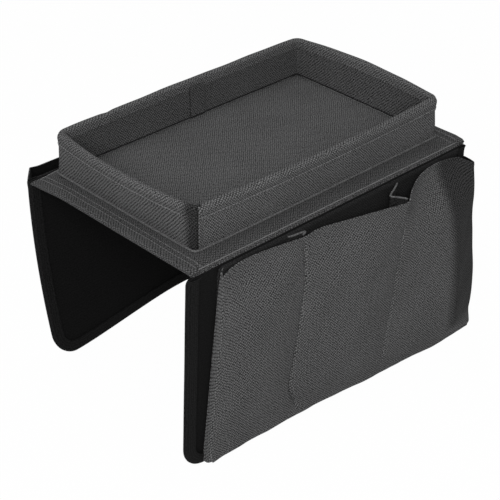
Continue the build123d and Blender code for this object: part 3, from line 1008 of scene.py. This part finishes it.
tray_floor, cut = lay_sheet("tray_floor_cloth", 150, 100, place_floor, thickness=FLOOR_CLOTH, side=-1)
finish(tray_floor, floor_twill, "base", "gray_cloth", "tray_floor_cover")

# %% [markdown]
# A flap hangs from the base's long edge. The near one hangs almost straight, but its front end
# reaches a little past the base and sags. The far one swings in towards the foot. Every layer
# of a flap is laid on that same hanging curve, each a little further out than the last. One
# function holds the curve, so that cloth, tape, pockets and stitches agree.

# %% Hanging curve of a flap
CURLS = {"near": 0.5, "far": 25.0}
NEAR_LEAN = 4.5
NEAR_LEAN_BACK = 4.0
NEAR_REACH = 5.7
NEAR_REACH_FOOT = 1.8
NEAR_SHORT = 4.0
NEAR_SAG = 4.0
NEAR_FRONT_FROM = 60
NEAR_BACK_FROM = 100
HINGE_EASE = 4
FAR_RISES = [(-165, 0.0), (-10, 14.0), (165, 6.0)]
FAR_RISES_FROM = 60
FLAP_TOP = -0.3
FLAP_CORNER = 22.0
BINDING_OUT = 0.15
LINING_OUT = 0.95
COVER_OUT = 1.95
POCKET_OUT = 2.95
POCKET_FACE = 3.95


def hang(label, x, z, out):
    """A point of a flap at x and height z, out from the hinge line by out."""
    side, drop = SIDES[label], FLAP_DROP[label]
    if label == "far":
        z *= 1 - between(FAR_RISES, x) / drop * smoothstep(FAR_RISES_FROM, drop, -z)
    radius = drop ** 2 / (2 * CURLS[label])
    y = HINGE_Y - radius + math.sqrt((radius + out) ** 2 - min(z, 0.0) ** 2)
    if label == "near":
        deep = max(-z, 0.0) / drop
        front = smoothstep(-NEAR_FRONT_FROM, BASE_END, -x)
        back = smoothstep(NEAR_BACK_FROM, BASE_END, x)
        y -= (NEAR_LEAN * front + NEAR_LEAN_BACK * back) * deep
        reach = front * (NEAR_REACH + NEAR_REACH_FOOT * deep) + back * NEAR_SHORT * (1 - deep)
        x -= reach * smoothstep(-HINGE_EASE, HINGE_EASE, -z)
        z -= NEAR_SAG * front * smoothstep(0.3, 1.0, deep)
    return (x, side * y, z)


def flap_half(label, depth, inset):
    """Half the flap's length at a depth, less an inset, with its rounded lower corners."""
    half = BASE_END - inset
    foot = FLAP_DROP[label] - inset
    radius = FLAP_CORNER - inset
    over = depth - (foot - radius)
    if over <= 0:
        return half
    return half - radius + math.sqrt(max(radius ** 2 - over ** 2, 0.0))


LAYER_INSET = 0.9
LAYER_CLOTH = 0.9
LAYER_MIDDLE = 0.5


def lay_flap_layer(label, name, out):
    """Lay one layer of flap cloth, with its corners rounded."""

    def place(a, b):
        foot = FLAP_DROP[label] - LAYER_INSET
        depth = -FLAP_TOP + (foot + FLAP_TOP) * math.sin(b * math.pi / 2)
        x = flap_half(label, depth, LAYER_INSET) * (2 * a - 1)
        return hang(label, x, -depth, out + LAYER_MIDDLE)

    return lay_sheet(name, 90, 60, place, thickness=LAYER_CLOTH, side=0, flip=label == "far")


for label in LABELS:
    for out, layer, node in ((LINING_OUT, "inside", "lining"), (COVER_OUT, "outside", "cover")):
        cloth, cut = lay_flap_layer(label, f"{label}_flap_{layer}", out)
        finish(cloth, black_weave, f"{label}_flap", "black_cloth", f"{label}_flap_{node}")

# %% [markdown]
# The hinge of a flap is only cloth: a black strip sewn under the base's edge and on to the
# flap. It could ride on one of the two, but then it would come off the other as the flap
# swings. So it is laid once, as it hangs at rest, and rides on neither.

# %% Hinge strips
HINGE_RUN_IN = 5.0
HINGE_RUN_DOWN = 7.0
HINGE_CORNER = 1.2
HINGE_SHORT = 2.2
HINGE_IN = 0.9
HINGE_UP = 0.75
HINGE_OUT = 1.4
HINGE_OUT_BELOW = 0.9
HINGE_CLOTH = 0.6
BLEND_FROM = 1.0
BLEND_TO = -3.0

for label in LABELS:
    def place_hinge(a, b, label=label):
        side = SIDES[label]
        x = (BASE_END - HINGE_SHORT) * (2 * a - 1)
        turn = HINGE_CORNER * math.pi / 2
        d = b * (HINGE_RUN_IN + turn + HINGE_RUN_DOWN)
        y, z = BASE_SIDE - HINGE_IN - HINGE_CORNER, HINGE_UP
        if d < HINGE_RUN_IN:
            y -= HINGE_RUN_IN - d
        elif d < HINGE_RUN_IN + turn:
            angle = (d - HINGE_RUN_IN) / HINGE_CORNER
            y += HINGE_CORNER * math.sin(angle)
            z += HINGE_CORNER * (math.cos(angle) - 1)
        else:
            y += HINGE_CORNER + HINGE_OUT * smoothstep(0, 4, d - HINGE_RUN_IN - turn)
            z -= HINGE_CORNER + d - HINGE_RUN_IN - turn
        fallen = droop(x, side * y) * smoothstep(-4, 1, z)
        return x, side * (y + HINGE_OUT_BELOW * smoothstep(0, 3, -z)), z - fallen

    strip, cut = lay_sheet(
        f"{label}_hinge_strip", 120, 26, place_hinge, thickness=HINGE_CLOTH, flip=label == "near",
    )
    dress(strip, black_weave)
    hinge = SIDES[label] * HINGE_Y * MM
    start, end = (0, hinge, BLEND_FROM * MM), (0, hinge, BLEND_TO * MM)
    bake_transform(strip)

# %% [markdown]
# The flap's edge is bound with a tape folded over it, down one end, round the corner, along
# the foot and up the other end. The tape's cross section is a narrow U, and the path is the
# flap's own outline. Each of its points is laid on the hanging curve, like the cloth that it
# holds, so the two can't come apart.

# %% Flap bindings
TAPE = 10.0
TAPE_OUT_LOW = BINDING_OUT
TAPE_OUT_HIGH = 4.75
TAPE_CLOTH = 0.6
TAPE_STITCH_IN = 1.6
TAPE_STITCH_WIDTH = 0.6
TAPE_STITCH_ENDS = 0.004
TAPE_POINTS = 400
TAPE_WOBBLE = 0.25


def outline_point(label, t):
    """A point of the flap's outline and the way in from it, t from 0 at the top front."""
    half, drop, corner = BASE_END, FLAP_DROP[label], FLAP_CORNER
    straight = drop - corner + FLAP_TOP
    quarter = corner * math.pi / 2
    foot = 2 * (half - corner)
    d = t * (2 * straight + 2 * quarter + foot)
    if d <= straight:
        return (-half, FLAP_TOP - d), (1, 0)
    d -= straight
    if d <= quarter:
        c, s = math.cos(d / corner), math.sin(d / corner)
        return (-half + corner - corner * c, -drop + corner - corner * s), (c, s)
    d -= quarter
    if d <= foot:
        return (-half + corner + d, -drop), (0, 1)
    d -= foot
    if d <= quarter:
        c, s = math.cos(d / corner), math.sin(d / corner)
        return (half - corner + corner * s, -drop + corner - corner * c), (-s, c)
    d -= quarter
    return (half, -drop + corner + d), (-1, 0)


def tape_section(b):
    """How far in from the edge and how far out of the flap the tape is, b round its U."""
    half = (TAPE_OUT_HIGH - TAPE_OUT_LOW) / 2
    leg = TAPE - half
    turn = math.pi * half
    middle = (TAPE_OUT_HIGH + TAPE_OUT_LOW) / 2
    d = b * (2 * leg + turn)
    if d < leg:
        return TAPE - d, middle - half
    if d > leg + turn:
        return half + (d - leg - turn), middle + half
    angle = (d - leg) / half
    return half - half * math.sin(angle), middle - half * math.cos(angle)


for label in LABELS:
    def place_tape(a, b, label=label):
        (x, z), (ix, iz) = outline_point(label, a)
        inward, out = tape_section(b)
        wobble = TAPE_WOBBLE * math.sin(55 * a + 1.3) * (1 if inward > 3 else 0.4)
        inward += 0.4 * wobble
        return hang(label, x + ix * inward, min(z + iz * inward, FLAP_TOP), out + 0.15 * wobble)

    tape, cut = lay_sheet(
        f"{label}_flap_tape", 300, 22, place_tape, thickness=TAPE_CLOTH, side=-1, flip=label == "near",
    )
    finish(tape, binding_weave, f"{label}_flap", "binding_tape", f"{label}_flap_binding")
    inward = TAPE - TAPE_STITCH_IN
    for surface, row, turn in ((TAPE_OUT_HIGH, "outside", 1), (TAPE_OUT_LOW, "inside", -1)):
        out = surface + STITCH_LIFT * turn
        line = []
        for k in range(TAPE_POINTS + 1):
            t = TAPE_STITCH_ENDS + (1 - 2 * TAPE_STITCH_ENDS) * k / TAPE_POINTS
            (x, z), (ix, iz) = outline_point(label, t)
            line.append(hang(label, x + ix * inward, min(z + iz * inward, FLAP_TOP), out))
        face = (0, SIDES[label] * turn, 0)
        name, body = f"{label}_tape_stitches_{row}", f"{label}_flap"
        sew(name, line, lambda i, face=face: face, tape_thread, body, "binding_tape", TAPE_STITCH_WIDTH)

# %% [markdown]
# Behind the pockets lies a gray sheet, folded double at its top. Its gray is the pockets' cloth,
# painted much darker as the shade inside the pockets. The far flap is the near one
# turned round, so its pockets start at the other end, and every place along it changes sign.

# %% Pocket backs
START_INSET_AT_TOP = 34.0
START_INSET_AT_FOOT = 20.0
POCKET_TOP = 3.5
FOOT_GAP = 3.0
HEM = 5.0
HEM_STEP = 0.8
HEM_ROLL = 0.5
BACK_CLOTH = 0.9
BACK_OUT = 0.55
BACK_PAST_START = 3


def turned(label, x):
    """x on the near flap, or on the far flap turned round."""
    return -SIDES[label] * x


for label in LABELS:
    def place_back(a, b, label=label):
        depth = -FLAP_TOP + (FLAP_DROP[label] - TAPE - 1) * b
        start = -BASE_END + START_INSET_AT_TOP - BACK_PAST_START
        x = start + (BASE_END - TAPE - start) * a
        hem = HEM_STEP * (1 - smoothstep(HEM - 0.8, HEM, depth))
        roll = -HEM_ROLL * (1 - smoothstep(0, 1.2, depth + FLAP_TOP))
        return hang(label, turned(label, x), -depth, POCKET_OUT + BACK_OUT + hem + roll)

    back, cut = lay_sheet(f"{label}_pocket_backing", 60, 90, place_back, thickness=BACK_CLOTH, side=0)
    finish(back, pocket_shade_twill, f"{label}_flap", "gray_cloth", f"{label}_pocket_back")

# %% [markdown]
# The pocket front is one wide sheet that makes all three pockets. It starts on the flap at
# one end, comes out as a gusset, bulges over each pocket, is drawn in at the two seams and
# returns to the flap at the other end. The bulges are given as shares of the pocket's depth
# at five levels, read from the photograph, and a smooth curve joins them. A row gives
# the start, the middle and the end of each of the three lobes, and the value at a seam
# counts for the lobes on both of its sides. Three pockets could be made one by one, but only
# one sheet keeps the weave whole across the seams.

# %% Shape of the pocket fronts
POCKET_DEPTH = 30.0
END_INSET = 1.0
SHOULDERS = {"near": (2.5, 6.0), "far": (6.0, 21.0)}
LEVELS = [0.0, 0.24, 0.6, 0.87, 1.0]
BULGE_SHARES = {
    "near": [
        [0.03, 0.07, 0.14, 0.40, 0.74, 0.08, 0.50],
        [0.18, 0.40, 0.32, 0.62, 0.72, 0.84, 0.95],
        [0.20, 0.44, 0.32, 0.66, 0.74, 1.04, 1.27],
        [0.17, 0.37, 0.31, 0.61, 0.70, 1.02, 1.30],
        [0.22, 0.34, 0.36, 0.50, 0.60, 0.76, 0.97],
    ],
    "far": [
        [0.44, 0.64, 0.58, 0.80, 0.72, 0.94, 0.86],
        [0.46, 0.72, 0.58, 0.84, 0.68, 0.90, 0.76],
        [0.44, 0.74, 0.56, 0.84, 0.66, 0.84, 0.66],
        [0.40, 0.64, 0.57, 0.76, 0.68, 0.78, 0.60],
        [0.38, 0.54, 0.58, 0.68, 0.70, 0.70, 0.56],
    ],
}
MOUTH_DEPTHS = {
    "near": [
        (-137, 11.5), (-131, 10.0), (-126, 6.5), (-118, 3.7), (-105, 2.2), (-85, 3.3),
        (-53, 6.5), (-45, 7.2), (-31, 4.5), (0, 6.6), (44, 9.3), (60, 9.5),
        (66, 6.0), (80, 4.4), (98, 2.4), (143, 1.2), (153, 5.5), (164, 10.5),
    ],
    "far": [(-140, 8.0), (-110, 6.5), (-45, 7.0), (0, 9.0), (62, 9.0), (130, 9.0), (164, 2.0)],
}
SEAM_LINES = {
    "near": (
        [(0, -45), (150, -60), (158, -58), (172, -52)],
        [(0, 62), (85, 51), (145, 42), (180, 39)],
    ),
    "far": ([(0, -45), (170, -45)], [(0, 62), (170, 62)]),
}


def pocket_foot(label):
    """Depth of the pocket's foot."""
    return FLAP_DROP[label] - FOOT_GAP


def seam_x(label, which, depth):
    """x of a seam at a depth, on the near flap's side."""
    return between(SEAM_LINES[label][which], depth)


def pocket_ends(depth_share):
    """x of the sheet's start and end at a share of its depth, before the far one's end runs in."""
    start = START_INSET_AT_TOP + (START_INSET_AT_FOOT - START_INSET_AT_TOP) * depth_share
    return -BASE_END + start, BASE_END - END_INSET


def bulge(label, x, depth):
    """How far the sheet stands off the pocket back at x and a depth."""
    share = (depth - POCKET_TOP) / (pocket_foot(label) - POCKET_TOP)
    start, end = pocket_ends(share)
    seams = [seam_x(label, which, depth) for which in (0, 1)]
    stops = [start + SHOULDERS[label][0], *seams, end - SHOULDERS[label][1]]
    table = BULGE_SHARES[label]
    marks = [between([(level, row[c]) for level, row in zip(LEVELS, table)], share) for c in range(7)]
    lobe = sum(x >= seam for seam in seams)
    t = min(max((x - stops[lobe]) / (stops[lobe + 1] - stops[lobe]), 0.0), 1.0)
    first, middle, last = marks[2 * lobe:2 * lobe + 3]
    chord = first + (last - first) * t
    return POCKET_DEPTH * (chord + 4 * (middle - (first + last) / 2) * t * (1 - t))


print("near bulge at the middle", round(bulge("near", 0, 90), 1))

# %% [markdown]
# On the near flap the last 40 mm of the sheet turn away from the front along an upright
# crease, which runs out to the corner at the foot. The crease is soft near the mouth and
# sharp lower down, which a curve with a changing blur gives better than a modelled edge.
# Small pleats and the sewn lines are pressed into the sheet as well.

# %% Laying the pocket fronts
GUSSET = 0.06
CREASE_X = 126.0
CREASE_RUN_OUT = 37.0
CREASE_SLOPE = 0.34
CREASE_SHARP = 1.2
CREASE_SOFT = 14.0
SEAM_GROOVES = (2.1, 1.1)
SEAM_HALF = 1.5
FAR_END_RUN_IN = 15.0
MOUTH_HEM = 4.2
MOUTH_HEM_STEP = 0.5
SLOW_FOLD = 1.5
FINE_FOLD = 0.35
PUCKER = 0.3
PUCKER_HALF = 14
TAB_DROP = 2.4
FOOT_TUCKED = 1.6
LEAST_OUT = 0.2


def crease(depth, x):
    """How far the near pocket's last stretch is turned back at x and a depth."""
    foot = pocket_foot("near")
    over = x - CREASE_X - CREASE_RUN_OUT * smoothstep(foot - 24, foot - 2, depth)
    blur = CREASE_SHARP + CREASE_SOFT * (1 - smoothstep(20, 110, depth))
    return CREASE_SLOPE * 0.5 * (over + math.hypot(over, blur)) * smoothstep(8, 70, depth)


def pleats(label, x, depth):
    """Slow folds of the loose sheet."""
    slow = SLOW_FOLD * ripple(1.3 * x + 0.5 * depth, 0.7 * depth, 20 + SIDES[label])
    fine = FINE_FOLD * ripple(3.3 * x, 2.1 * depth, 31)
    beside = sum(bell(seam_x(label, k, depth), PUCKER_HALF, x) for k in (0, 1))
    return slow + fine + PUCKER * beside * math.sin(0.19 * depth + 0.05 * x)


def place_pocket(label, a, b):
    """Lay the pocket sheet: a runs from the start gusset round to the end one, b from mouth to foot."""
    start, end = pocket_ends(b)
    if label == "far":
        end -= FAR_END_RUN_IN * smoothstep(0.6, 1.0, b)
    first, last = SHOULDERS[label]
    tab = 0.0
    if a < GUSSET:
        t = a / GUSSET
        x = start + first * t ** 2
        share = math.sin(t * math.pi / 2)
        edge_x = start + first
        tab = bell(0.35, 0.5, t)
    elif a > 1 - GUSSET:
        t = (1 - a) / GUSSET
        slack = label == "far"
        x = end - last * (t if slack else t ** 2)
        share = t if slack else math.sin(t * math.pi / 2)
        edge_x = end - last
    else:
        t = (a - GUSSET) / (1 - 2 * GUSSET)
        x = edge_x = start + first + (end - start - first - last) * t
        share = 1.0
        tab = bell(0.0, 0.03, t)
    top = between(MOUTH_DEPTHS[label], x)
    if a < GUSSET:
        top = 1.0 + (top - 1.0) * smoothstep(0.1, 0.7, a / GUSSET)
    foot = pocket_foot(label) + (TAB_DROP * tab - FOOT_TUCKED) * (label == "near")
    depth = top + (foot - top) * b
    out = bulge(label, edge_x, depth) * share
    loose = smoothstep(0.02, 0.16, b) * share
    sewn = smoothstep(0.02, 0.06, b) * (1 - smoothstep(0.9, 0.98, b)) * share
    for which in (0, 1):
        groove = bell(seam_x(label, which, depth), SEAM_HALF, x)
        out -= SEAM_GROOVES[which] * groove * sewn
    if label == "near":
        out -= crease(depth, x) * share
    hem = MOUTH_HEM_STEP * (1 - smoothstep(MOUTH_HEM - 0.6, MOUTH_HEM, depth - top))
    out = max(out + pleats(label, x, depth) * loose, LEAST_OUT) + hem
    return hang(label, turned(label, x), -depth, POCKET_FACE + out)


print("a point of the near pocket is", [round(v, 1) for v in place_pocket("near", 0.5, 0.5)])

# %% [markdown]
# The last stretch of the near sheet, past the crease, is far darker in the photograph than the
# modelled light makes it. So that shade is painted too: past a bend 64 mm before the sheet's
# end, and down to a little above its foot. The inside of both sheets gets the black cloth, a
# painted shade for the dark inside of the pockets.

# %% Pocket fronts and their seams
SHEET_CELLS = (340, 130)
POCKET_CLOTH = 1.0
END_BEND = 64.0
END_BLUR = 8.0
END_LIGHT_FOOT = (26.0, 12.0)
END_DARK = 0.36
SEAM_TOP = 13
SEAM_SHORT = 26
SEAM_POINTS = 120
SEAM_STITCH_WIDTH = 1.1


def end_shade(cut):
    """Where the near pocket's end is darker, for a sheet of this length and width in metres."""
    bend = cut[0] - END_BEND * MM
    low, high = (cut[1] - inset * MM for inset in END_LIGHT_FOOT)
    return (bend - END_BLUR * MM, bend + END_BLUR * MM, low, high, END_DARK)


for label in LABELS:
    sheet, cut = lay_sheet(
        f"{label}_pocket_sheet", *SHEET_CELLS, lambda a, b, label=label: place_pocket(label, a, b),
        thickness=POCKET_CLOTH, side=-1,
    )
    twill = pocket_twill
    if label == "near":
        twill = woven("end_twill", 55, 54, slant=-1.0, ridge=0.58, dim=end_shade(cut))
    finish(sheet, twill, f"{label}_flap", "gray_cloth", f"{label}_pocket_front")
    line_inside(sheet, SHEET_CELLS[0] * SHEET_CELLS[1], black_weave)
    # The seams are sewn in the near-black thread, a painted shade of their creases.
    for which, name in ((0, "front"), (1, "back")):
        line = []
        for k in range(SEAM_POINTS + 1):
            depth = SEAM_TOP + (pocket_foot(label) - SEAM_SHORT) * k / SEAM_POINTS
            x = seam_x(label, which, depth)
            reach = POCKET_FACE + bulge(label, x, depth) - SEAM_GROOVES[which] + pleats(label, x, depth)
            line.append(hang(label, turned(label, x), -depth, reach + STITCH_LIFT))
        face = (0, SIDES[label], 0)
        row, body = f"{label}_seam_stitches_{name}", f"{label}_flap"
        sew(row, line, lambda i, face=face: face, seam_shade_thread, body, "gray_cloth", SEAM_STITCH_WIDTH)

# %% [markdown]
# Folded walls part the pockets, and a narrow wedge of cloth closes them below. A wall is
# folded like a Z, so that it opens when something is pushed in. It starts on the pocket back,
# some way past the seam, comes out and back on itself, and is sewn to the front at the seam.

# %% Pocket walls and foot
WALL_FOLDS = {
    "near": (
        [(0.0, -15.0), (0.3, -12.0), (0.6, 3.0), (1.0, 0.0)],
        [(0.0, 8.0), (0.2, 1.0), (0.45, -10.0), (0.66, -6.0), (1.0, 0.0)],
    ),
    "far": (
        [(0.0, 8.0), (0.34, -6.0), (0.62, 6.0), (1.0, 0.0)],
        [(0.0, 8.0), (0.34, -6.0), (0.62, 6.0), (1.0, 0.0)],
    ),
}
WALL_STOPS_SHORT = 1.6
WALL_CLOTH = 0.8
WALL_OUT = 0.3
WALL_ABOVE_FOOT = 4
WALL_MOUTH_AT = 8
WALL_RISE_AT_BACK = 5.0
WALL_FALL_TO_FRONT = 4.6
BRIM_POINTS = 60
BRIM_RADIUS = 0.55
BRIM_LIFT = 0.1
FOOT_ABOVE = 3.0
FOOT_SHORT = 3
FOOT_STOPS_SHORT = 1.8
FOOT_CLOTH = 0.9
FOOT_OUT = 0.2
FOOT_LEAST = 0.3
FOOT_END_SHARE = 0.02

for label in LABELS:
    for which, name in ((0, "front"), (1, "back")):
        def place_wall(a, b, label=label, folds=WALL_FOLDS[label][which], which=which):
            mouth = between(MOUTH_DEPTHS[label], seam_x(label, which, WALL_MOUTH_AT))
            top = mouth - WALL_RISE_AT_BACK + WALL_FALL_TO_FRONT * a
            depth = top + (pocket_foot(label) - WALL_ABOVE_FOOT - top) * b
            seam = seam_x(label, which, depth)
            reach = bulge(label, seam, depth) - WALL_STOPS_SHORT
            fade = 1 - 0.6 * b
            x = seam + between(folds, a) * fade
            return hang(label, turned(label, x), -depth, POCKET_FACE + WALL_OUT + reach * a)

        wall, cut = lay_sheet(f"{label}_pocket_wall_{name}", 30, 40, place_wall, thickness=WALL_CLOTH)
        other = name if label == "near" else {"front": "back", "back": "front"}[name]
        # The walls take the same painted shade of the pockets' inside.
        finish(wall, pocket_shade_twill, f"{label}_flap", "gray_cloth", f"{label}_pocket_divider_{other}")
        brim = []
        for k in range(BRIM_POINTS + 1):
            x, y, z = place_wall(0.03 + 0.95 * k / BRIM_POINTS, 0.0)
            brim.append((x, y, z + BRIM_LIFT))

        def brim_line(a, brim=brim):
            spot = min(int(a * BRIM_POINTS), BRIM_POINTS - 1)
            p, q = Vector(brim[spot]), Vector(brim[spot + 1])
            along = (q - p).normalized()
            return p.lerp(q, a * BRIM_POINTS - spot), along.cross(Vector((0, 0, 1))), (0, 0, 1)

        bead, body = f"{label}_wall_brim_{name}", f"{label}_flap"
        # The brims take the lighter cord cloth, a painted highlight along each wall's top fold.
        lay_bead(bead, BRIM_POINTS, brim_line, BRIM_RADIUS, cord_highlight_twill, body, "gray_cloth")

    def place_foot(a, b, label=label):
        start, end = pocket_ends(0.99)
        end -= FAR_END_RUN_IN * (label == "far")
        x = start + FOOT_SHORT + (end - start - 2 * FOOT_SHORT) * a
        depth = pocket_foot(label) - FOOT_ABOVE
        turned_back = crease(depth, x) if label == "near" else 0.0
        reach = bulge(label, x, depth) - FOOT_STOPS_SHORT - turned_back
        side = min(a, 1 - a) / FOOT_END_SHARE
        share = math.sin(side * math.pi / 2) if side < 1 else 1.0
        out = POCKET_FACE + FOOT_OUT + max(reach * share, FOOT_LEAST) * b
        return hang(label, turned(label, x), -depth, out)

    foot, cut = lay_sheet(f"{label}_pocket_foot", 120, 10, place_foot, thickness=FOOT_CLOTH, flip=True)
    # The foot takes the same painted shade of the pockets' inside.
    finish(foot, pocket_shade_twill, f"{label}_flap", "gray_cloth", f"{label}_pocket_bottom")

# %% [markdown]
# The boards in the walls and the floor are hidden inside the cloth and stay as the frame has
# them, with a finish of pressed board.

# %% Boards
for name, node in frame["nodes"].items():
    if "board" in name:
        node.data.materials.clear()
        node.data.materials.append(gray_board)
print("boards done")

# %% [markdown]
# The object is shown on a plain white floor in even studio light. Floor and world are white
# to the camera, to gloss and to glass by their own strength, and neither puts more light on
# the cloth for it. The floor keeps only a soft shadow.

# %% Floor
FLOOR_UNDER = 4
FLOOR_Z = -max(FLAP_DROP.values()) - FLOOR_UNDER
FLOOR_METRES = 12
FLOOR_GRAY = 0.7
SHADOW_SHARE = 0.985


def white_floor():
    """A floor that the camera sees as white and the object sees as pale gray."""
    bpy.ops.mesh.primitive_plane_add(size=FLOOR_METRES, location=(0, 0, FLOOR_Z * MM))
    floor = bpy.context.object
    floor.name = "floor"
    m = Nodes("white_floor")
    m.shader.inputs["Base Color"].default_value = (FLOOR_GRAY, FLOOR_GRAY, FLOOR_GRAY, 1)
    m.shader.inputs["Roughness"].default_value = 1.0
    glow = m.add("ShaderNodeEmission", Color=(1, 1, 1, 1), Strength=1.0)
    path = m.add("ShaderNodeLightPath").outputs
    seen = m.math("MAXIMUM", path["Is Camera Ray"], path["Is Glossy Ray"])
    seen = m.math("MAXIMUM", seen, path["Is Transmission Ray"])
    share = m.math("MULTIPLY", seen, SHADOW_SHARE)
    mix = m.add("ShaderNodeMixShader", i0=share, i1=m.shader.outputs[0], i2=glow.outputs[0])
    m.tree.links.new(mix.outputs[0], m.tree.nodes["Material Output"].inputs["Surface"])
    floor.data.materials.append(m.material)
    return floor


print("floor at", round(white_floor().location.z, 3))

# %% [markdown]
# The key light stands to the left of the camera, because in the photograph everything that
# turns to the right goes dark. A wide light above evens out the tray. Places and sizes are in
# metres here, and power is in watts.

# %% Light
WORLD_LEVEL = 0.26
KEY_PLACE = (-1.35, -1.25, 1.15)
KEY_AIM = (0, 0, -0.05)
KEY_SIZE = 1.0
KEY_POWER = 37
TOP_PLACE = (0.0, 0.3, 2.0)
TOP_AIM = (0, 0, 0)
TOP_SIZE = 1.5
TOP_POWER = 11


def area_light(name, place, aim, size, power):
    """A square soft light aimed at a point."""
    bpy.ops.object.light_add(type="AREA", location=place)
    light = bpy.context.object
    light.name = name
    light.data.size = size
    light.data.energy = power
    light.rotation_euler = (Vector(aim) - Vector(place)).to_track_quat("-Z", "Y").to_euler()


def white_world():
    """A world that lights evenly at a low level and shows white to the camera."""
    world = bpy.data.worlds.new("studio")
    bpy.context.scene.world = world
    world.use_nodes = True
    tree = world.node_tree
    sky = tree.nodes["Background"]
    sky.inputs["Color"].default_value = (1, 1, 1, 1)
    path = tree.nodes.new("ShaderNodeLightPath").outputs
    seen = None
    for ray in ("Is Camera Ray", "Is Glossy Ray", "Is Transmission Ray"):
        pick = tree.nodes.new("ShaderNodeMath")
        pick.operation = "MAXIMUM"
        tree.links.new(path[ray], pick.inputs[0])
        pick.inputs[1].default_value = WORLD_LEVEL
        if seen:
            tree.links.new(seen, pick.inputs[1])
        seen = pick.outputs[0]
    tree.links.new(seen, sky.inputs["Strength"])


white_world()
area_light("key", KEY_PLACE, KEY_AIM, KEY_SIZE, KEY_POWER)
area_light("top", TOP_PLACE, TOP_AIM, TOP_SIZE, TOP_POWER)
bpy.context.scene.view_settings.view_transform = "Standard"
print("lights set")
